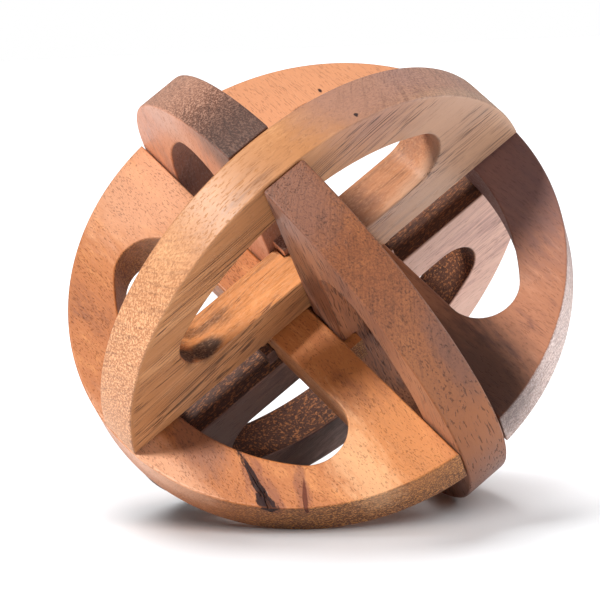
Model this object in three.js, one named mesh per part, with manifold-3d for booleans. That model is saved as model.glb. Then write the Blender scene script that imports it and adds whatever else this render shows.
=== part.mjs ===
// Six-piece wooden burr ball. Millimetres, +Z up.
//
// Each piece is a thick board cut to a D: a round rim, a straight bar along the chord and a D-shaped opening.
// Two D boards face each other to make one great circle of the ball, and the three circles cross at right angles.
// In every piece's own axes u points from the centre to the crown, v runs along the chord and w is the thickness.
//
// A rib on each chord face lies in dados in the bars of the next pair, and the hooks at its ends reach over
// sloping seats on those bars. Every pair holds the next one in a ring, so all six slide outwards together.

import * as THREE from 'three';
import { mergeVertices } from 'three/addons/utils/BufferGeometryUtils.js';
import Module from 'manifold-3d';

const wasm = await Module();
wasm.setup();

// ---- Driving dimensions ----

const ballRadius = 50;
const boardPitch = 10;        // distance between the two chord planes of a pair; one board and its clearance fit in it
const fitGap = 0.3;           // clearance between faces that meet
const barDepth = 9.5;         // chord face to the opening, along u
const crownBand = 11.6;       // opening to the rim, at the crown
const openingRadius = 47.3;   // radius of the opening's round side
const openingCorner = 7.4;    // radius of the opening's two corners
const edgeEase = 0.35;        // chamfer on the sawn edges

const ribHeight = 1.6;        // how far the rib stands off the chord face plane
const hookDepth = 1.5;        // how far a hook reaches below the rib
const hookLength = 2;         // how far a hook runs past the bar that it holds

const rimSteps = 72;
const openingSteps = 40;
const cornerSteps = 10;

// ---- Sizes that follow from them ----

const chordPlane = boardPitch / 2;
const chordFace = chordPlane + fitGap / 2;
const halfBoard = chordPlane - fitGap / 2;
const openingFace = chordFace + barDepth;
const ribFoot = chordPlane - ribHeight;
const ribHalfWidth = ribFoot - fitGap;
const dadoFloor = ribFoot - fitGap;
const dadoHalfWidth = ribHalfWidth + fitGap;
const hookFoot = ribFoot - hookDepth;
const hookEnd = openingFace + hookLength;
const slopeGap = fitGap * Math.SQRT2;      // clearance measured along u or v across the 45 degree slope
const slopeSum = dadoFloor + openingFace - hookDepth;   // u + v is the same all along a seat
const overlap = 1;                         // how far joined solids reach into each other

// ---- Solids ----

function toSolid(geometry) {
  geometry.deleteAttribute('normal');
  geometry.deleteAttribute('uv');
  const merged = mergeVertices(geometry, 1e-5);
  return new wasm.Manifold(new wasm.Mesh({
    numProp: 3,
    vertProperties: new Float32Array(merged.attributes.position.array),
    triVerts: new Uint32Array(merged.index.array),
  }));
}

function toGeometry(solid) {
  const mesh = solid.getMesh();
  const geometry = new THREE.BufferGeometry();
  geometry.setAttribute('position', new THREE.BufferAttribute(mesh.vertProperties, mesh.numProp));
  geometry.setIndex(new THREE.BufferAttribute(mesh.triVerts, 1));
  geometry.computeVertexNormals();
  return geometry;
}

function prism(shape, halfWidth, ease = 0) {
  const geometry = new THREE.ExtrudeGeometry(shape, {
    depth: 2 * (halfWidth - ease),
    steps: 1,
    bevelEnabled: ease > 0,
    bevelThickness: ease,
    bevelSize: ease,
    bevelOffset: -ease,
    bevelSegments: 1,
  });
  geometry.translate(0, 0, ease - halfWidth);
  return toSolid(geometry);
}

function arcPoints(centreU, centreV, radius, start, end, steps) {
  return Array.from({ length: steps + 1 }, (_, step) => {
    const angle = THREE.MathUtils.lerp(start, end, step / steps);
    return new THREE.Vector2(centreU + radius * Math.cos(angle), centreV + radius * Math.sin(angle));
  });
}

function polygon(...corners) {
  return new THREE.Shape(corners.map(([u, v]) => new THREE.Vector2(u, v)));
}

// ---- The D board ----

function boardOutline() {
  const reach = Math.acos(chordFace / ballRadius);
  return new THREE.Shape(arcPoints(0, 0, ballRadius, -reach, reach, rimSteps));
}

function openingOutline() {
  const roundCentre = ballRadius - crownBand - openingRadius;
  const cornerU = openingFace + openingCorner;
  const cornerV = Math.sqrt((openingRadius - openingCorner) ** 2 - (cornerU - roundCentre) ** 2);
  const reach = Math.atan2(cornerV, cornerU - roundCentre);
  return new THREE.Path([
    ...arcPoints(roundCentre, 0, openingRadius, -reach, reach, openingSteps),
    ...arcPoints(cornerU, cornerV, openingCorner, reach, Math.PI, cornerSteps).slice(1),
    ...arcPoints(cornerU, -cornerV, openingCorner, -Math.PI, -reach, cornerSteps).slice(0, -1),
  ]);
}

function dBoard() {
  const outline = boardOutline();
  outline.holes.push(openingOutline());
  return prism(outline, halfBoard, edgeEase);
}

// ---- The lock ----

// The rib and its two hooks, as one outline across u and v.
function ribOutline() {
  const slopeTop = slopeSum + slopeGap - ribFoot;
  const slopeLow = slopeSum + slopeGap - hookFoot;
  return polygon(
    [chordFace + overlap, -hookEnd],
    [chordFace + overlap, hookEnd],
    [hookFoot, hookEnd],
    [hookFoot, slopeLow],
    [ribFoot, slopeTop],
    [ribFoot, -slopeTop],
    [hookFoot, -slopeLow],
    [hookFoot, -hookEnd],
  );
}

// What a crossing rib needs out of one side of the bar: the dado and the sloping seat, across w and u.
function dadoOutline() {
  const outside = halfBoard + overlap;
  return polygon(
    [dadoFloor, chordFace - overlap],
    [outside, chordFace - overlap],
    [outside, openingFace + overlap],
    [dadoFloor - hookDepth - overlap, openingFace + overlap],
    [dadoFloor, openingFace - hookDepth],
  );
}

function dadoSolid(side) {
  const across = new THREE.ExtrudeGeometry(dadoOutline(), { depth: 2 * dadoHalfWidth, bevelEnabled: false });
  across.translate(0, 0, -dadoHalfWidth);
  const axes = new THREE.Matrix4().makeBasis(
    new THREE.Vector3(0, 0, 1),
    new THREE.Vector3(1, 0, 0),
    new THREE.Vector3(0, 1, 0),
  );
  across.applyMatrix4(axes);
  if (side < 0) across.rotateX(Math.PI);
  return toSolid(across);
}

const pieceGeometry = toGeometry(
  dBoard()
    .add(prism(ribOutline(), ribHalfWidth))
    .subtract(dadoSolid(1))
    .subtract(dadoSolid(-1)),
);

// ---- The ball ----

// The three circles' axes lean equally, so the ball stands on three rims with one corner of the cross straight up.
const lean = Math.acos(1 / Math.sqrt(3));

function ballAxis(turn) {
  return new THREE.Vector3(
    Math.sin(lean) * Math.cos(turn),
    Math.sin(lean) * Math.sin(turn),
    Math.cos(lean),
  );
}

const ballAxes = [-90, 30, 150].map((degrees) => ballAxis(THREE.MathUtils.degToRad(degrees)));
const restHeight = ballRadius * Math.sin(lean) + (halfBoard - edgeEase) * Math.cos(lean);

// name, crown axis, crown side, colour
const pieces = [
  ['board_ab_plus', 0, 1, 0xc08a58],
  ['board_ab_minus', 0, -1, 0x9a7462],
  ['board_bc_plus', 1, 1, 0x8e5a3c],
  ['board_bc_minus', 1, -1, 0xcf8d4e],
  ['board_ca_plus', 2, 1, 0x9c6444],
  ['board_ca_minus', 2, -1, 0xa4643c],
];

function makePiece([name, axis, side, colour]) {
  const material = new THREE.MeshStandardMaterial({ color: colour, roughness: 0.5, metalness: 0 });
  const mesh = new THREE.Mesh(pieceGeometry.clone(), material);
  mesh.name = name;
  const crown = ballAxes[axis].clone().multiplyScalar(side);
  const chord = ballAxes[(axis + 1) % 3].clone();
  const thickness = new THREE.Vector3().crossVectors(crown, chord);
  mesh.quaternion.setFromRotationMatrix(new THREE.Matrix4().makeBasis(crown, chord, thickness));
  mesh.position.z = restHeight;
  return mesh;
}

const ball = new THREE.Group();
ball.add(...pieces.map(makePiece));

export default ball;
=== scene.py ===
"""Six-piece wooden burr ball: six D-shaped boards that lock into three crossing circles.

Each board is made in its own axes: u from the ball's centre to the crown, v along the chord and with the
grain, w through the thickness. Lengths are in metres.
"""

import math
import bmesh
import bpy
from bpy.props import FloatProperty, FloatVectorProperty, IntProperty, PointerProperty
from mathutils import Matrix, Vector, noise


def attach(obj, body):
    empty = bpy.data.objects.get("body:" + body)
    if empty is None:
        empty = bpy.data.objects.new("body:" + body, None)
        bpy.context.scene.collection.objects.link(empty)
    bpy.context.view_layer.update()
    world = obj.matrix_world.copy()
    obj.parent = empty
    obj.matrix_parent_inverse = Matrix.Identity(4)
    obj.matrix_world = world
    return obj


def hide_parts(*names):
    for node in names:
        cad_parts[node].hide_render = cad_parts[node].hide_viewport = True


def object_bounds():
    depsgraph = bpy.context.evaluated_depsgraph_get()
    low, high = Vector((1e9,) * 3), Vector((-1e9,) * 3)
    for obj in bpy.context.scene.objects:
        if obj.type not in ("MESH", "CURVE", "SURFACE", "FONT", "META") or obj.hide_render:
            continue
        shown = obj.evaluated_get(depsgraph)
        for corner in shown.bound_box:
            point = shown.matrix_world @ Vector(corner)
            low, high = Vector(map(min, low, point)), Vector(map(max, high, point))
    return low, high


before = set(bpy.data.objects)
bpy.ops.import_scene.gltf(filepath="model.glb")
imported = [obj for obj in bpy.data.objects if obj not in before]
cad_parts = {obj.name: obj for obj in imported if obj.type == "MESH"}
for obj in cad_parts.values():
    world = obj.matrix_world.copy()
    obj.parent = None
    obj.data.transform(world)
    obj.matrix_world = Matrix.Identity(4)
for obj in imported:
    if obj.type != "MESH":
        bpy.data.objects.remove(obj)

bl_info = {
    "name": "Wooden burr ball",
    "version": (1, 0, 0),
    "blender": (4, 5, 0),
    "location": "3D View > Sidebar > Burr ball",
    "description": "Cuts, finishes and lights a six-piece wooden burr ball",
    "category": "Add Mesh",
}

MM = 0.001
CAD_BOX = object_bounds()
CENTRE = (Vector(CAD_BOX[0]) + Vector(CAD_BOX[1])) / 2
BALL_WIDTH = CAD_BOX[1][0] - CAD_BOX[0][0]

# Board name: the circle axis its crown points along, and which way.
BOARDS = {
    "board_ab_plus": (0, 1),
    "board_ab_minus": (0, -1),
    "board_bc_plus": (1, 1),
    "board_bc_minus": (1, -1),
    "board_ca_plus": (2, 1),
    "board_ca_minus": (2, -1),
}


# ---- Settings ----


def length(name, description, default):
    return FloatProperty(name=name, description=description, default=default, unit="LENGTH", precision=5)


def colour(name, description, default):
    return FloatVectorProperty(
        name=name, description=description, default=default, subtype="COLOR", size=3, min=0, max=1
    )


def turn(name, description, degrees):
    return FloatProperty(name=name, description=description, default=math.radians(degrees), subtype="ANGLE")


class BoardSizes(bpy.types.PropertyGroup):
    ball_radius: length("Ball radius", "Centre of the ball to the rims", BALL_WIDTH / 2)
    board_pitch: length("Board pitch", "Distance between the two chord planes of a circle", 10 * MM)
    fit_gap: length("Fit gap", "Clearance between faces that meet", 0.3 * MM)
    bar_depth: length("Bar depth", "Chord face to the opening", 9.5 * MM)
    crown_band: length("Crown band", "Opening to the rim, at the crown", 11.6 * MM)
    opening_radius: length("Opening radius", "Radius of the opening's round side", 47.3 * MM)
    opening_corner: length("Opening corner", "Radius of the opening's corners", 7.4 * MM)
    edge_ease: length("Edge ease", "Rounding on the long edges", 0.45 * MM)
    notch_ease: length("Notch ease", "Rounding on the edges of ribs and dados", 0.18 * MM)
    rib_height: length("Rib height", "Rib above the chord plane", 1.6 * MM)
    hook_depth: length("Hook depth", "Hook below the rib", 1.5 * MM)
    hook_length: length("Hook length", "Hook past the bar that it holds", 2 * MM)
    rim_steps: IntProperty(name="Rim steps", description="Straight steps round a rim", default=180, min=24)


# What differs from board to board. Colours are linear, tilt is in degrees, and pore_length and pore_width are
# in millimetres. The other values are shares from 0 to 1.
FINISHES = {
    "board_ab_plus": {
        "heart": (0.46, 0.20, 0.078), "pale": (0.66, 0.325, 0.145), "dark": (0.2, 0.078, 0.03),
        "end": (0.44, 0.18, 0.08), "fleck": (0.85, 0.47, 0.26), "wall": (0.58, 0.215, 0.06),
        "tilt": 3, "figure": 0.75, "pores": 0.12, "pore_length": 2.2, "pore_width": 0.24,
        "lines": 1.0, "ends": 0.6, "walls": 0.7,
    },
    "board_ab_minus": {
        "heart": (0.62, 0.355, 0.265), "pale": (0.7, 0.44, 0.34), "dark": (0.36, 0.19, 0.15),
        # The near-black wall colour is partly painted shade: AB-'s bar and opening walls face into the ball's
        # shaded inside.
        "end": (0.11, 0.038, 0.018), "fleck": (0.74, 0.285, 0.10), "wall": (0.085, 0.028, 0.014),
        "tilt": -4, "figure": 0.7, "pores": 0.4, "pore_length": 4, "pore_width": 0.24,
        "lines": 0.3, "ends": 0.9, "walls": 0.97,
    },
    "board_bc_plus": {
        "heart": (0.38, 0.15, 0.078), "pale": (0.5, 0.225, 0.13), "dark": (0.17, 0.062, 0.04),
        "end": (0.58, 0.43, 0.385), "fleck": (0.88, 0.75, 0.70), "wall": (0.16, 0.06, 0.035),
        "tilt": -6, "figure": 0.7, "pores": 0.25, "pore_length": 1.6, "pore_width": 0.24,
        "lines": 0.12, "ends": 0.8, "walls": 0.6,
    },
    "board_bc_minus": {
        "heart": (0.43, 0.140, 0.037), "pale": (0.60, 0.238, 0.075), "dark": (0.24, 0.07, 0.02),
        "end": (0.15, 0.05, 0.017), "fleck": (0.66, 0.29, 0.08), "wall": (0.38, 0.18, 0.065),
        "tilt": 12, "figure": 0.55, "pores": 0.5, "pore_length": 1, "pore_width": 0.21,
        "lines": 0.1, "ends": 0.9, "walls": 0.25,
    },
    "board_ca_plus": {
        "heart": (0.54, 0.19, 0.078), "pale": (0.64, 0.29, 0.16), "dark": (0.3, 0.115, 0.07),
        "end": (0.105, 0.042, 0.028), "fleck": (0.5, 0.29, 0.215), "wall": (0.13, 0.048, 0.03),
        "tilt": 5, "figure": 0.42, "pores": 0.25, "pore_length": 1.6, "pore_width": 0.24,
        "lines": 0.12, "ends": 0.85, "walls": 0.7,
    },
    "board_ca_minus": {
        "heart": (0.225, 0.068, 0.022), "pale": (0.32, 0.11, 0.036), "dark": (0.12, 0.035, 0.015),
        "end": (0.16, 0.052, 0.022), "fleck": (0.38, 0.14, 0.05), "wall": (0.34, 0.12, 0.045),
        "tilt": 4, "figure": 1, "pores": 0.72, "pore_length": 4.2, "pore_width": 0.36,
        "lines": 0.75, "ends": 0.22, "walls": 0.5,
    },
}


def share(name, description, default):
    return FloatProperty(name=name, description=description, default=default, min=0, max=1, subtype="FACTOR")


def finish_group(board, finish):
    """The settings of one board's wood, with that board's finish as their defaults."""
    fields = {
        "heart": colour("Heartwood", "Main colour of the oiled wood", finish["heart"]),
        "pale": colour("Pale figure", "Light bands of the figure", finish["pale"]),
        "dark": colour("Dark figure", "Dark bands of the figure, and rubbed edges", finish["dark"]),
        "end": colour("End grain", "Ground where the grain runs out", finish["end"]),
        "fleck": colour("Flecks", "Flecks in the end grain", finish["fleck"]),
        "wall": colour("Sawn walls", "Bar and opening walls, which are left as sawn", finish["wall"]),
        "tilt": turn("Grain tilt", "Grain's turn off the chord", finish["tilt"]),
        "figure": share("Figure", "How strongly the wood is figured", finish["figure"]),
        "pores": share("Pores", "How dark the open pores are", finish["pores"]),
        "pore_length": length("Pore length", "Length of the open pores", finish["pore_length"] * MM),
        "pore_width": length("Pore width", "Width of the open pores", finish["pore_width"] * MM),
        "lines": share("Lines", "How dark the thin lines along the grain are", finish["lines"]),
        "ends": share("End grain share", "How far end grain shows", finish["ends"]),
        "walls": share("Wall share", "How far the walls take their own colour", finish["walls"]),
    }
    return type("BURR_PG_" + board, (bpy.types.PropertyGroup,), {"__annotations__": fields})


FINISH_GROUPS = {name: finish_group(name, finish) for name, finish in FINISHES.items()}


class StageSettings(bpy.types.PropertyGroup):
    azimuth: turn("Azimuth", "Camera's turn round the ball", 12.45)
    elevation: turn("Elevation", "Camera's height above the horizon", 6.18)
    roll: turn("Roll", "Camera's tilt about its own view", -2.42)
    camera_distance: length("Camera distance", "Camera to the ball's centre", 0.609)
    lens: FloatProperty(name="Lens", description="Focal length in millimetres", default=185, subtype="NONE")
    shift_x: FloatProperty(name="Shift across", description="Camera shift across", default=-0.0311)
    shift_y: FloatProperty(name="Shift up", description="Camera shift up", default=-0.0189)
    key_azimuth: turn("Key azimuth", "Key light's turn round the ball", -39.3)
    key_elevation: turn("Key elevation", "Key light's height above the horizon", 36.5)
    key_strength: FloatProperty(name="Key strength", description="Key light on the ball", default=4.3)
    key_spread: turn("Key spread", "Width of the key light as the ball sees it", 11)
    key_tint: colour("Key tint", "Colour of the key light", (1.0, 0.965, 0.91))
    side_azimuth: turn("Side azimuth", "Side light's turn round the ball", 98)
    side_elevation: turn("Side elevation", "Side light's height above the horizon", 12)
    side_strength: FloatProperty(name="Side strength", description="Soft side light on the ball", default=2.2)
    side_spread: turn("Side spread", "Width of the side light as the ball sees it", 55)
    side_tint: colour("Side tint", "Colour of the side light", (0.93, 0.96, 1.0))
    floor_azimuth: turn("Floor light azimuth", "Floor light's turn round the ball", -128)
    floor_elevation: turn("Floor light elevation", "Floor light's height above the horizon", 68)
    floor_strength: FloatProperty(name="Floor light", description="Overhead light on the floor", default=3.6)
    floor_spread: turn("Floor light spread", "Width of the floor light as the floor sees it", 45)
    floor_tint: colour("Floor light tint", "Colour of the floor light", (1.0, 1.0, 1.0))
    front_azimuth: turn("Front light azimuth", "Front floor light's turn round the ball", 35)
    front_elevation: turn("Front light elevation", "Front floor light's height above the horizon", 45)
    front_strength: FloatProperty(name="Front light", description="Front light on the floor", default=2.6)
    front_spread: turn("Front light spread", "Width of the front light as the floor sees it", 60)
    front_tint: colour("Front light tint", "Colour of the front light", (1.0, 1.0, 1.0))
    fill: FloatProperty(name="Fill", description="Strength of the white surround on the ball", default=0.06)
    gleam: FloatProperty(name="Gleam", description="White surround's strength in reflections", default=0.52)
    floor_colour: colour("Floor", "Colour of the plain floor", (0.875, 0.89, 0.91))


# ---- Shader graph ----


class Value:
    """One output socket of a shader graph, used in Python arithmetic."""

    def __init__(self, graph, socket):
        self.graph = graph
        self.socket = socket

    def _math(self, operation, *values, clamp=False):
        inputs = dict(enumerate(values))
        return self.graph.value("ShaderNodeMath", 0, {"operation": operation, "use_clamp": clamp}, inputs)

    def __add__(self, other):
        return self._math("ADD", self, other)

    __radd__ = __add__

    def __sub__(self, other):
        return self._math("SUBTRACT", self, other)

    def __rsub__(self, other):
        return self._math("SUBTRACT", other, self)

    def __mul__(self, other):
        return self._math("MULTIPLY", self, other)

    __rmul__ = __mul__

    def __abs__(self):
        return self._math("ABSOLUTE", self)

    def step(self, low, high):
        """0 below low, 1 above high and smooth between; low above high turns it round."""
        way = self._math("MULTIPLY", self - low, 1 / (high - low), clamp=True)
        settings = {"interpolation_type": "SMOOTHSTEP"}
        return self.graph.value("ShaderNodeMapRange", "Result", settings, {"Value": way})


class Graph:
    """The node tree of a material or a world, emptied and built up again."""

    def __init__(self, owner):
        owner.use_nodes = True
        self.tree = owner.node_tree
        self.tree.nodes.clear()

    def node(self, kind, settings=None, inputs=None):
        """A node of that type; inputs gives its sockets a number, a colour or a Value to link."""
        made = self.tree.nodes.new(kind)
        for name, setting in (settings or {}).items():
            setattr(made, name, setting)
        for name, given in (inputs or {}).items():
            if isinstance(given, Value):
                self.tree.links.new(given.socket, made.inputs[name])
            else:
                made.inputs[name].default_value = given
        return made

    def value(self, kind, output, settings=None, inputs=None):
        return Value(self, self.node(kind, settings, inputs).outputs[output])

    def vector(self, operation, first, second):
        return self.value("ShaderNodeVectorMath", 0, {"operation": operation}, {0: first, 1: second})

    def noise(self, place, stretch, detail, roughness=0.5, output="Fac"):
        """Noise from 0 to 1 whose features are about stretch millimetres long on each axis."""
        scaled = self.vector("MULTIPLY", place, [1 / size for size in stretch])
        inputs = {"Vector": scaled, "Scale": 1.0, "Detail": detail, "Roughness": roughness}
        return self.value("ShaderNodeTexNoise", output, None, inputs)

    def mix(self, cover, first, second):
        """Colour first turning to colour second as cover goes from 0 to 1."""
        return self.value("ShaderNodeMix", 2, {"data_type": "RGBA"}, {0: cover, 6: first, 7: second})

    def show(self, kind, shader):
        """Link a shader node to an output node of that type."""
        self.tree.links.new(shader.outputs[0], self.node(kind).inputs["Surface"])


def rgba(shade, scale=1.0):
    """A colour socket's value from a linear colour, made lighter or darker by scale."""
    return (*[channel * scale for channel in shade], 1.0)


# ---- Wood ----


RIM_EDGE = 49.0                 # millimetres from the ball's centre to where a wall is the rim
RIM_BLUR = 0.5                  # millimetres either side of that in which a wall turns into the rim
LOG_STEP = (37.1, 53.7, 11.3)   # millimetres in the log from one board's place to the next board's
LOG_TURN = 23                   # degrees in the log from one board to the next
WANDER = (9, 0, 9)              # millimetres that the grain strays sideways
SUNK = (0.26, 0.23, 0.24)       # share of the wood's colour left in a pore, a pit or a thin line
BUMP_DEPTH = 0.14 * MM
OIL = {
    "IOR": 1.45, "Coat Weight": 0.04, "Coat Roughness": 0.3, "Sheen Weight": 0.05, "Sheen Roughness": 0.4,
}

# Colours of marks, each with its cover.
BARK = (0.022, 0.009, 0.010, 0.98)
STAIN = (0.19, 0.05, 0.024, 0.65)
SAP = (0.80, 0.46, 0.24, 0.55)
PEACH = (0.72, 0.385, 0.235, 0.6)
ORANGE = (0.66, 0.285, 0.135, 0.9)
# Painted sheen: a cool pinkish grey in place of the white surround's reflection along the top of AB+'s rim.
SHEEN_PURPLE = (0.38, 0.215, 0.185, 0.6)
HONEY = (0.57, 0.22, 0.06, 0.6)
MAUVE = (0.22, 0.10, 0.07, 0.6)
# Painted shade: dark plum where AB+'s tip shades the top of BC+.
SHADE_PLUM = (0.15, 0.082, 0.088, 0.75)
WINE = (0.15, 0.062, 0.044, 0.6)
UMBER = (0.05, 0.021, 0.016, 0.8)
SCORCH = (0.03, 0.014, 0.009, 0.92)
ROSE = (0.54, 0.28, 0.19, 0.5)
ROSEWOOD = (0.34, 0.17, 0.115, 0.5)
# Painted highlight: pale tan where light glances along the right part of AB+'s -C face.
HIGHLIGHT_TAN = (0.52, 0.32, 0.215, 0.72)
GINGER = (0.40, 0.13, 0.034, 0.55)

# Board name: its marks, each with centre and half size in millimetres along u, v and w, turn in degrees,
# raggedness, softness, and colour with its cover.
# Besides knots, bark and stains, some marks are painted shade, painted shadow, painted highlight or painted
# sheen, as noted at each.
MARKS = {
    "board_bc_minus": (
        ((12.0, 40.0, -5.0), (12.0, 13.0, 10), 0, 0.6, 0.6, PEACH),
        ((12.0, -40.0, -5.0), (8.0, 13.0, 6), 0, 0.5, 0.6, HONEY),
        # Painted shadow: darker where AB+'s tip shades this face of BC-.
        ((39.0, -11.5, -5.0), (5.0, 8.0, 3), 20, 0.6, 0.5, WINE),
        ((20.0, -37.0, -5.0), (4.5, 17.0, 6), 8, 1.0, 0.6, SAP),
        # Painted highlight: the lower-left rim is lightened where it catches the light.
        ((48.5, -13.0, -4.0), (4.5, 20.0, 5), 0, 0.5, 0.5, PEACH),
        ((36.8, -29.5, -5.0), (2.2, 8.0, 2), 14, 1.4, 0.35, STAIN),
        ((36.9, -27.6, -5.0), (0.75, 9.0, 1.7), 14, 1.2, 0.15, BARK),
        ((38.0, -31.4, -5.0), (1.5, 4.6, 1.6), 16, 1.4, 0.15, BARK),
        ((32.2, -36.0, -5.0), (0.45, 4.4, 2), 36, 0.5, 0.15, BARK),
        ((31.0, -33.5, -5.0), (1.4, 5.5, 3), 32, 1.0, 0.35, STAIN),
    ),
    "board_bc_plus": (
        ((22.0, 44.0, 0.0), (40.0, 42.0, 30), 0, 0.5, 0.6, ORANGE),
        # Painted shadow of AB+'s tip on the top of BC+.
        ((42.0, -10.0, 0.0), (15.0, 20.0, 30), 0, 0.5, 0.6, SHADE_PLUM),
        # Painted shadow: dark where CA- shades the lower face of BC+.
        ((8.0, -40.0, 5.0), (9.0, 17.0, 9), 0, 0.5, 0.6, UMBER),
        ((28.7, 32.4, 5.0), (0.34, 0.6, 2), 0, 1.0, 0.3, BARK),
    ),
    "board_ab_plus": (
        # Painted sheen: these two spots along the top of the rim paint the surround's cool reflection there.
        ((46.0, 24.0, 4.0), (16.0, 14.0, 12), 0, 0.3, 0.5, SHEEN_PURPLE),
        ((30.0, 40.0, 4.0), (14.0, 14.0, 12), 0, 0.3, 0.5, SHEEN_PURPLE),
        ((46.4, 18.7, -3.2), (1.2, 0.4, 0.55), 0, 1.2, 0.3, BARK),
        ((14.8, -27.6, -2.7), (2.4, 4.2, 2.1), 0, 0.3, 0.3, SCORCH),
        ((17.6, -31.8, -2.7), (3.4, 2.4, 2.1), 0, 0.3, 0.3, SCORCH),
        ((21.5, 30.8, -4.4), (6.5, 1.3, 1.5), 0, 0.5, 0.4, SCORCH),
        ((16.0, 24.0, 0.0), (6.0, 15.0, 8), 0, 0.5, 0.5, ROSEWOOD),
        ((14.6, 11.5, 0.0), (2.5, 6.5, 5.5), 0, 1.0, 0.6, WINE),
        # Painted highlight on the right part of the -C face, where light glances along it.
        ((14.0, 42.0, -5.5), (28.0, 26.0, 3.5), 0, 0.3, 0.4, HIGHLIGHT_TAN),
    ),
    "board_ab_minus": (
        # Painted shade: this darkens the half of AB- that lies inside the ball, in shade.
        ((24.0, -36.0, 0.0), (40.0, 34.0, 30), 0, 0.5, 0.4, UMBER),
    ),
    "board_ca_minus": (
        ((10.0, 48.0, 3.0), (10.0, 8.0, 8), 0, 0.4, 0.5, MAUVE),
        ((31.0, 4.0, 5.0), (4.0, 17.0, 2), 0, 0.8, 0.6, GINGER),
        ((48.0, -13.0, 0.0), (9.0, 15.0, 20), 0, 0.4, 0.6, WINE),
        ((45.0, 12.0, 0.0), (12.0, 24.0, 20), 0, 0.4, 0.5, GINGER),
        ((42.0, 24.0, -4.0), (7.0, 14.0, 3.5), 0, 0.5, 0.5, WINE),
        ((16.7, 27.7, 5.0), (0.8, 1.3, 2), 0, 0.4, 0.25, BARK),
    ),
    "board_ca_plus": (
        ((6.0, 49.5, 3.0), (13.0, 10.5, 20), 0, 0.4, 0.6, UMBER),
        ((33.0, 38.0, 0.0), (11.0, 9.0, 20), 0, 0.4, 0.6, ROSE),
    ),
}


def in_board_axes(graph, direction, axes):
    """A vector of the ball's axes given along the board's u, v and w."""
    settings = {"operation": "DOT_PRODUCT"}
    parts = [graph.value("ShaderNodeVectorMath", "Value", settings, {0: direction, 1: axis}) for axis in axes]
    return graph.value("ShaderNodeCombineXYZ", 0, None, dict(enumerate(parts)))


def board_place(graph, axes):
    """Millimetres from the ball's centre, along the board's u, v and w."""
    place = graph.vector("SUBTRACT", graph.value("ShaderNodeTexCoord", "Object"), CENTRE)
    return in_board_axes(graph, graph.vector("DIVIDE", place, (MM, MM, MM)), axes)


def grain_place(graph, local, tilt, seed):
    """The place turned so that the grain runs along the second axis, and gently wandering."""
    inputs = {
        "Vector": local,
        "Location": [seed * step for step in LOG_STEP],
        "Rotation": (0, math.radians(seed * LOG_TURN), tilt),
    }
    turned = graph.value("ShaderNodeMapping", "Vector", {"vector_type": "POINT"}, inputs)
    straying = graph.noise(turned, (26, 70, 26), detail=1.5, output="Color")
    centred = graph.vector("SUBTRACT", straying, (0.5, 0.5, 0.5))
    return graph.vector("ADD", turned, graph.vector("MULTIPLY", centred, WANDER))


def mark(graph, local, centre, size, degrees, rag, soft):
    """1 inside a ragged oval spot of that centre and half size, in millimetres, turned about w; 0 outside."""
    offset = graph.vector("SUBTRACT", local, centre)
    inputs = {"Vector": offset, "Angle": -math.radians(degrees)}
    turned = graph.value("ShaderNodeVectorRotate", 0, {"rotation_type": "Z_AXIS"}, inputs)
    shared = graph.vector("DIVIDE", turned, size)
    reach = graph.value("ShaderNodeVectorMath", "Value", {"operation": "LENGTH"}, {0: shared})
    ragged = graph.noise(turned, (1.3, 4.5, 1.3), detail=4, roughness=0.65)
    return (reach + (ragged - 0.5) * (2 * rag)).step(1 + soft, 1 - soft)


def wood_marks(graph, name, local, ground):
    """The ground colour with the board's marks on it: its own knots, bark and stains, and some painted shade,
    painted shadow, painted highlight and painted sheen; and where they leave it dull.
    """
    dull = 0.0
    for centre, size, degrees, rag, soft, shade in MARKS[name]:
        spot = mark(graph, local, centre, size, degrees, rag, soft)
        ground = graph.mix(spot * shade[3], ground, rgba(shade[:3]))
        if shade is BARK:
            dull = spot + dull
    return ground, dull


def figured_ground(graph, place, rim, finish):
    """Heartwood with its figure; then the light figure, the dark figure and the fibres alone."""
    rings = graph.noise(place, (5.5, 130, 5.5), detail=3, roughness=0.6)
    streaks = graph.noise(place, (1.3, 40, 1.3), detail=5, roughness=0.62)
    fibres = graph.noise(place, (0.30, 7, 0.30), detail=2, roughness=0.6)
    patches = graph.noise(place, (13, 26, 13), detail=3, roughness=0.55)
    figure = ((rings - 0.5) * 1.5 + (streaks - 0.5) * 1.3) * (1 - rim * 0.6) * finish.figure
    tone = 0.5 + figure + (patches - 0.5) + (fibres - 0.5) * 0.45
    light = tone.step(0.50, 0.92)
    deep = tone.step(0.48, 0.10)
    ground = graph.mix(light, rgba(finish.heart), rgba(finish.pale))
    ground = graph.mix(deep, ground, rgba(finish.dark))
    return ground, light, deep, fibres


def pores_and_lines(graph, place, rim, finish):
    """Where the open pores are, and where the thin dark lines along the grain are."""
    width = finish.pore_width / MM
    crowding = graph.noise(place, (3.5, 40, 3.5), detail=2).step(0.30, 0.75)
    vessels = graph.noise(place, (width, finish.pore_length / MM, width), detail=1, roughness=0.4)
    pores = (vessels + crowding * 0.08).step(0.62, 0.74)
    bands = graph.noise(place, (4, 90, 4), detail=1).step(0.42, 0.62)
    lines = graph.noise(place, (0.26, 60, 0.26), detail=1.5).step(0.55, 0.62) * bands
    return pores, lines * (1 - rim * 0.85)


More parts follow.
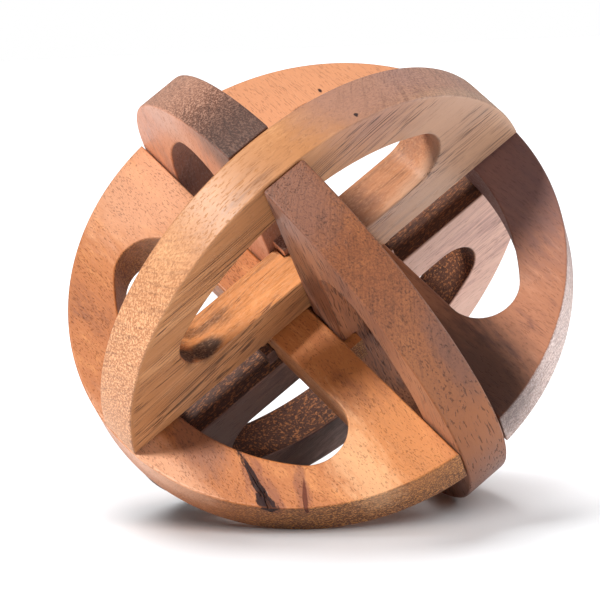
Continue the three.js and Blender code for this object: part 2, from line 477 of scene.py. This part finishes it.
def oiled_wood(name, finish, seed, axes):
    """Open-pored tropical hardwood, sanded and oiled, whose grain runs right through the board."""
    material = bpy.data.materials.new(name + "_wood")
    graph = Graph(material)
    local = board_place(graph, axes)
    place = grain_place(graph, local, finish.tilt, seed)

    # Where on the board the surface is, and which way it faces.
    level = graph.vector("MULTIPLY", local, (1, 1, 0))
    reach = graph.value("ShaderNodeVectorMath", "Value", {"operation": "LENGTH"}, {0: level})
    rim = reach.step(RIM_EDGE - RIM_BLUR, RIM_EDGE + RIM_BLUR)
    normal = in_board_axes(graph, graph.value("ShaderNodeTexCoord", "Normal"), axes)
    parts = graph.node("ShaderNodeSeparateXYZ", None, {0: normal})
    along_grain = abs(Value(graph, parts.outputs["Y"]))
    through = abs(Value(graph, parts.outputs["Z"]))
    runs_out = along_grain.step(0.30, 0.80)
    inner_wall = (1 - rim) * through.step(0.75, 0.35)

    # The wood's own colour: faces, then end grain, then the walls left as sawn.
    ground, light, deep, fibres = figured_ground(graph, place, rim, finish)
    cells = graph.noise(place, (0.36, 1.1, 0.36), detail=2.5, roughness=0.7)
    flecked = graph.mix(cells.step(0.48, 0.60), rgba(finish.end), rgba(finish.fleck))
    ground = graph.mix(runs_out * finish.ends, ground, flecked)
    walls = graph.mix(light * 0.6, rgba(finish.wall), rgba(finish.wall, 1.35))
    walls = graph.mix(deep, walls, rgba(finish.wall, 0.4))
    ground = graph.mix(inner_wall * finish.walls, ground, walls)

    # Marks of this board alone, some of them painted shade, painted shadow, painted highlight or painted
    # sheen, and rust-coloured flecks on its walls.
    ground, dull = wood_marks(graph, name, local, ground)
    sound = 1 - dull
    rust = cells.step(0.50, 0.64) * (0.55 + runs_out * 0.15) * sound * finish.ends
    ground = graph.mix(rust * inner_wall * finish.walls, ground, rgba(finish.fleck, 0.75))

    # What lies sunk in it: pits and rows of them in the end grain, pores, and thin lines.
    sunk = graph.vector("MULTIPLY", ground, SUNK)
    rows = graph.noise(place, (0.5, 5, 12), detail=2).step(0.50, 0.64)
    pitted = (cells.step(0.50, 0.36) * 0.5 + rows * 0.35) * along_grain.step(0.15, 0.65)
    ground = graph.mix(pitted * (1 - inner_wall) * sound * 0.75, ground, sunk)
    pores, lines = pores_and_lines(graph, place, rim, finish)
    clear = sound * (1 - runs_out * finish.ends)
    ground = graph.mix(pores * clear * finish.pores, ground, sunk)
    ground = graph.mix(lines * clear * finish.lines, ground, sunk)

    # Dirt rubbed into the eased edges, where the surface faces neither squarely out nor squarely through.
    slope = through * through
    eased = (slope * (1 - slope) * 4).step(0.15, 0.9)
    rubbed = eased * graph.noise(place, (2.5, 6, 2.5), detail=3).step(0.35, 0.65)
    ground = graph.mix(rubbed * 0.35, ground, rgba(finish.dark))

    oiled = 0.46 + (fibres - 0.5) * 0.18
    roughness = oiled + pores * 0.2 + runs_out * 0.08 + inner_wall * 0.2 + dull * 0.45
    height = (fibres - 0.5) * 0.35 + (cells - 0.5) * runs_out * 1.2 - pores
    inputs = {"Strength": 0.5, "Distance": BUMP_DEPTH, "Height": height}
    bump = graph.value("ShaderNodeBump", "Normal", None, inputs)
    inputs = {"Base Color": ground, "Roughness": roughness, "Normal": bump, **OIL}
    shader = graph.node("ShaderNodeBsdfPrincipled", None, inputs)
    graph.show("ShaderNodeOutputMaterial", shader)
    return material


# ---- Board solids ----


def arc(centre, radius, start, end, steps):
    """Points on an arc in u and v, from angle start to angle end."""
    angles = [start + (end - start) * step / steps for step in range(steps + 1)]
    return [(centre[0] + radius * math.cos(a), centre[1] + radius * math.sin(a)) for a in angles]


class BoardPlan:
    """Sizes of a board worked out from the settings."""

    def __init__(self, sizes):
        self.sizes = sizes
        half_pitch = sizes.board_pitch / 2
        self.half_board = half_pitch - sizes.fit_gap / 2
        self.chord_face = half_pitch + sizes.fit_gap / 2
        self.opening_face = self.chord_face + sizes.bar_depth
        self.rib_foot = half_pitch - sizes.rib_height
        self.rib_half_width = self.rib_foot - sizes.fit_gap
        self.dado_floor = self.rib_foot - sizes.fit_gap
        self.dado_half_width = self.rib_half_width + sizes.fit_gap
        self.hook_foot = self.rib_foot - sizes.hook_depth
        self.hook_end = self.opening_face + sizes.hook_length
        self.slope_sum = self.dado_floor + self.opening_face - sizes.hook_depth

    def outline(self):
        reach = math.acos(self.chord_face / self.sizes.ball_radius)
        return arc((0, 0), self.sizes.ball_radius, -reach, reach, self.sizes.rim_steps)

    def opening(self):
        sizes = self.sizes
        centre = sizes.ball_radius - sizes.crown_band - sizes.opening_radius
        corner_u = self.opening_face + sizes.opening_corner
        inner = sizes.opening_radius - sizes.opening_corner
        corner_v = math.sqrt(inner ** 2 - (corner_u - centre) ** 2)
        reach = math.atan2(corner_v, corner_u - centre)
        steps = sizes.rim_steps
        return (
            arc((centre, 0), sizes.opening_radius, -reach, reach, steps // 2)
            + arc((corner_u, corner_v), sizes.opening_corner, reach, math.pi, steps // 8)[1:]
            + arc((corner_u, -corner_v), sizes.opening_corner, -math.pi, -reach, steps // 8)[:-1]
        )

    def rib(self):
        """Outline of the rib and its two hooks in u and v."""
        slope = self.slope_sum + self.sizes.fit_gap * math.sqrt(2)
        inside = self.chord_face + MM
        half = [
            (inside, self.hook_end),
            (self.hook_foot, self.hook_end),
            (self.hook_foot, slope - self.hook_foot),
            (self.rib_foot, slope - self.rib_foot),
        ]
        return half + [(u, -v) for u, v in reversed(half)]

    def dado(self):
        """Outline of the dado and its sloping seat in w and u."""
        outside = self.half_board + MM
        depth = self.sizes.hook_depth
        return [
            (self.dado_floor, self.chord_face - MM),
            (outside, self.chord_face - MM),
            (outside, self.opening_face + MM),
            (self.dado_floor - depth - MM, self.opening_face + MM),
            (self.dado_floor, self.opening_face - depth),
        ]


def board_blank(plan):
    """The D board with rounded edges, as a mesh object."""
    ease = plan.sizes.edge_ease
    drawing = bpy.data.curves.new("board_drawing", "CURVE")
    drawing.dimensions = "2D"
    drawing.fill_mode = "BOTH"
    drawing.extrude = plan.half_board - ease
    drawing.bevel_depth = ease
    drawing.bevel_resolution = 2
    drawing.offset = -ease
    for outline in (plan.outline(), plan.opening()):
        spline = drawing.splines.new("POLY")
        spline.points.add(len(outline) - 1)
        spline.use_cyclic_u = True
        for point, (u, v) in zip(spline.points, outline):
            point.co = (u, v, 0, 1)
    return solid_from(bpy.data.objects.new("board_drawing", drawing))


def solid_from(source):
    """A closed mesh object of what source shows, which is removed."""
    bpy.context.collection.objects.link(source)
    seen = source.evaluated_get(bpy.context.evaluated_depsgraph_get())
    mesh = bpy.data.meshes.new_from_object(seen)
    bpy.data.objects.remove(source)
    work = bmesh.new()
    work.from_mesh(mesh)
    bmesh.ops.remove_doubles(work, verts=work.verts, dist=1e-6)
    bmesh.ops.dissolve_limit(work, angle_limit=math.radians(0.5), verts=work.verts, edges=work.edges)
    bmesh.ops.recalc_face_normals(work, faces=work.faces)
    work.to_mesh(mesh)
    work.free()
    return bpy.data.objects.new("solid", mesh)


def prism(outline, half_width):
    """A prism object of an outline in x and y, to half_width either side along z."""
    work = bmesh.new()
    base = [work.verts.new((x, y, -half_width)) for x, y in outline]
    top = [work.verts.new((x, y, half_width)) for x, y in outline]
    work.faces.new(reversed(base))
    work.faces.new(top)
    for index, corner in enumerate(base):
        follower = (index + 1) % len(base)
        work.faces.new((corner, base[follower], top[follower], top[index]))
    bmesh.ops.recalc_face_normals(work, faces=work.faces)
    mesh = bpy.data.meshes.new("prism")
    work.to_mesh(mesh)
    work.free()
    return bpy.data.objects.new("prism", mesh)


def combined(base, *cuts):
    """base after each (operation, tool object) pair; the tools are removed."""
    for operation, tool in cuts:
        bpy.context.collection.objects.link(tool)
        modifier = base.modifiers.new("cut", "BOOLEAN")
        modifier.operation = operation
        modifier.solver = "EXACT"
        modifier.object = tool
    made = solid_from(base)
    for _, tool in cuts:
        bpy.data.objects.remove(tool)
    return made


def dado_tools(plan):
    """The two cutters for the dados, one for each face of the board."""
    upright = Matrix(((0, 1, 0), (0, 0, 1), (1, 0, 0))).to_4x4()
    for flip in (1, -1):
        tool = prism(plan.dado(), plan.dado_half_width)
        tool.data.transform(Matrix.Diagonal((1, 1, flip, 1)) @ upright)
        if flip < 0:
            tool.data.flip_normals()
        yield tool


BARK_POCKET = (37.3 * MM, -29.6 * MM, -4.9 * MM)    # along u, v and w
BARK_POCKET_HALF_SIZE = (1.0 * MM, 7.4 * MM, 1.0 * MM)
BARK_POCKET_TURN = math.radians(14)


def bark_cutter():
    """A ragged sliver that hollows the bark pocket out of the face."""
    work = bmesh.new()
    bmesh.ops.create_icosphere(work, subdivisions=5, radius=1)
    for vertex in work.verts:
        ragged = noise.turbulence(vertex.co * 2.3 + Vector((7, 1, 4)), 4, False)
        vertex.co *= 0.6 + 0.7 * ragged
    place = (
        Matrix.Translation(BARK_POCKET)
        @ Matrix.Rotation(BARK_POCKET_TURN, 4, "Z")
        @ Matrix.Diagonal((*BARK_POCKET_HALF_SIZE, 1))
    )
    bmesh.ops.transform(work, matrix=place, verts=work.verts)
    mesh = bpy.data.meshes.new("bark_cutter")
    work.to_mesh(mesh)
    work.free()
    return bpy.data.objects.new("bark_cutter", mesh)


def finished_board(name, plan):
    """One board: blank, rib, dados, its own flaws, and eased notches."""
    first, second = dado_tools(plan)
    rib = prism(plan.rib(), plan.rib_half_width)
    board = combined(board_blank(plan), ("UNION", rib), ("DIFFERENCE", first), ("DIFFERENCE", second))
    if name == "board_bc_minus":
        board = combined(board, ("DIFFERENCE", bark_cutter()))
    board.name = name + "_board"
    board.data.name = board.name
    easing = board.modifiers.new("eased notches", "BEVEL")
    easing.width = plan.sizes.notch_ease
    easing.segments = 2
    easing.limit_method = "ANGLE"
    easing.angle_limit = math.radians(40)
    shading = board.modifiers.new("face shading", "WEIGHTED_NORMAL")
    shading.keep_sharp = True
    board.data.set_sharp_from_angle(angle=math.radians(35))
    for face in board.data.polygons:
        face.use_smooth = True
    return board


# ---- The ball ----


def ball_axis(turn_degrees):
    """One of the three crossing axes, which lean alike round the upright."""
    lean = math.acos(1 / math.sqrt(3))
    angle = math.radians(turn_degrees)
    return Vector((math.sin(lean) * math.cos(angle), math.sin(lean) * math.sin(angle), math.cos(lean)))


BALL_AXES = [ball_axis(degrees) for degrees in (-90, 30, 150)]


def board_axes(axis, side):
    """The board's u, v and w as directions in the ball."""
    crown = BALL_AXES[axis] * side
    chord = BALL_AXES[(axis + 1) % 3]
    return crown, chord, crown.cross(chord)


class BURR_OT_boards(bpy.types.Operator):
    """Cut the six boards of the ball and give each its own oiled wood"""

    bl_idname = "burr.boards"
    bl_label = "Cut boards"

    def execute(self, context):
        plan = BoardPlan(context.scene.burr_sizes)
        lit_boards = bpy.data.collections.new("lit_boards")
        for seed, (name, (axis, side)) in enumerate(BOARDS.items(), start=1):
            board = finished_board(name, plan)
            axes = board_axes(axis, side)
            board.data.transform(Matrix.Translation(CENTRE) @ Matrix(axes).transposed().to_4x4())
            finish = getattr(context.scene, "burr_" + name)
            board.data.materials.append(oiled_wood(name, finish, seed, axes))
            context.collection.objects.link(board)
            lit_boards.objects.link(board)
            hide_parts(name)
            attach(board, name.removeprefix("board_"))
        return {"FINISHED"}


# ---- Stage ----


FLOOR_RADIUS = 3.0      # metres
LIGHT_DISTANCE = 1.0    # metres; only the direction counts


def around(azimuth, elevation, distance):
    """A point that far from the ball's centre."""
    level = distance * math.cos(elevation)
    side = Vector((level * math.sin(azimuth), -level * math.cos(azimuth), distance * math.sin(elevation)))
    return CENTRE + side


def facing_ball(place, roll=0.0):
    """A matrix at place whose -Z looks at the ball's centre."""
    look = (CENTRE - place).to_track_quat("-Z", "Y").to_matrix().to_4x4()
    return Matrix.Translation(place) @ look @ Matrix.Rotation(roll, 4, "Z")


def add_light(name, settings, receivers):
    """The far softbox whose settings begin with that name, which lights only the objects in receivers."""
    data = bpy.data.lights.new(name + "_light", "SUN")
    azimuth, elevation, data.angle, data.energy, data.color = (
        getattr(settings, name + part) for part in ("_azimuth", "_elevation", "_spread", "_strength", "_tint")
    )
    lamp = bpy.data.objects.new(name + "_light", data)
    lamp.matrix_world = facing_ball(around(azimuth, elevation, LIGHT_DISTANCE))
    lamp.light_linking.receiver_collection = receivers
    bpy.context.collection.objects.link(lamp)


def pale_floor(tone):
    """A plain matt material for the floor."""
    material = bpy.data.materials.new("pale_floor")
    graph = Graph(material)
    inputs = {"Base Color": rgba(tone), "Roughness": 0.55, "IOR": 1.3}
    shader = graph.node("ShaderNodeBsdfPrincipled", None, inputs)
    graph.show("ShaderNodeOutputMaterial", shader)
    return material


def white_surround(fill, gleam):
    """A world that lights the ball softly, gleams in its reflections and shows as plain white behind it."""
    world = bpy.data.worlds.new("surround")
    graph = Graph(world)
    path = graph.node("ShaderNodeLightPath")
    seen = Value(graph, path.outputs["Is Camera Ray"])
    glossy = Value(graph, path.outputs["Is Glossy Ray"])
    strength = fill + seen * (1 - fill) + glossy * (gleam - fill)
    glow = graph.node("ShaderNodeBackground", None, {"Color": (1, 1, 1, 1), "Strength": strength})
    graph.show("ShaderNodeOutputWorld", glow)
    return world


class BURR_OT_stage(bpy.types.Operator):
    """Add the pale floor, the soft studio light and the camera"""

    bl_idname = "burr.stage"
    bl_label = "Set the stage"

    def execute(self, context):
        settings = context.scene.burr_stage
        work = bmesh.new()
        bmesh.ops.create_circle(work, cap_ends=True, segments=128, radius=FLOOR_RADIUS)
        mesh = bpy.data.meshes.new("floor")
        work.to_mesh(mesh)
        work.free()
        floor = bpy.data.objects.new("floor", mesh)
        mesh.materials.append(pale_floor(settings.floor_colour))
        context.collection.objects.link(floor)

        lit_floor = bpy.data.collections.new("lit_floor")
        lit_floor.objects.link(floor)
        lit_boards = bpy.data.collections["lit_boards"]
        for name, receivers in (
            ("key", lit_boards), ("side", lit_boards), ("floor", lit_floor), ("front", lit_floor)
        ):
            add_light(name, settings, receivers)
        context.scene.world = white_surround(settings.fill, settings.gleam)
        context.scene.view_settings.view_transform = "Standard"

        data = bpy.data.cameras.new("camera")
        data.lens = settings.lens
        data.shift_x = settings.shift_x
        data.shift_y = settings.shift_y
        camera = bpy.data.objects.new("camera", data)
        place = around(settings.azimuth, settings.elevation, settings.camera_distance)
        camera.matrix_world = facing_ball(place, settings.roll)
        context.collection.objects.link(camera)
        context.scene.camera = camera
        return {"FINISHED"}


class BURR_PT_panel(bpy.types.Panel):
    """Lists the steps that make the ball"""

    bl_idname = "BURR_PT_panel"
    bl_label = "Burr ball"
    bl_space_type = "VIEW_3D"
    bl_region_type = "UI"
    bl_category = "Burr ball"

    def draw(self, context):
        for operator in OPERATORS:
            self.layout.operator(operator.bl_idname)
        finishes = [getattr(context.scene, "burr_" + name) for name in FINISH_GROUPS]
        for group in (context.scene.burr_sizes, context.scene.burr_stage, *finishes):
            box = self.layout.box()
            for name in group.__annotations__:
                box.prop(group, name)


OPERATORS = (BURR_OT_boards, BURR_OT_stage)
CLASSES = (BoardSizes, StageSettings, *FINISH_GROUPS.values(), *OPERATORS, BURR_PT_panel)


def register():
    for each in CLASSES:
        bpy.utils.register_class(each)
    bpy.types.Scene.burr_sizes = PointerProperty(type=BoardSizes)
    bpy.types.Scene.burr_stage = PointerProperty(type=StageSettings)
    for name, group in FINISH_GROUPS.items():
        setattr(bpy.types.Scene, "burr_" + name, PointerProperty(type=group))


def unregister():
    for name in FINISH_GROUPS:
        delattr(bpy.types.Scene, "burr_" + name)
    del bpy.types.Scene.burr_stage
    del bpy.types.Scene.burr_sizes
    for each in reversed(CLASSES):
        bpy.utils.unregister_class(each)


def main():
    register()
    bpy.ops.burr.boards()
    bpy.ops.burr.stage()


if __name__ == "__main__":
    main()
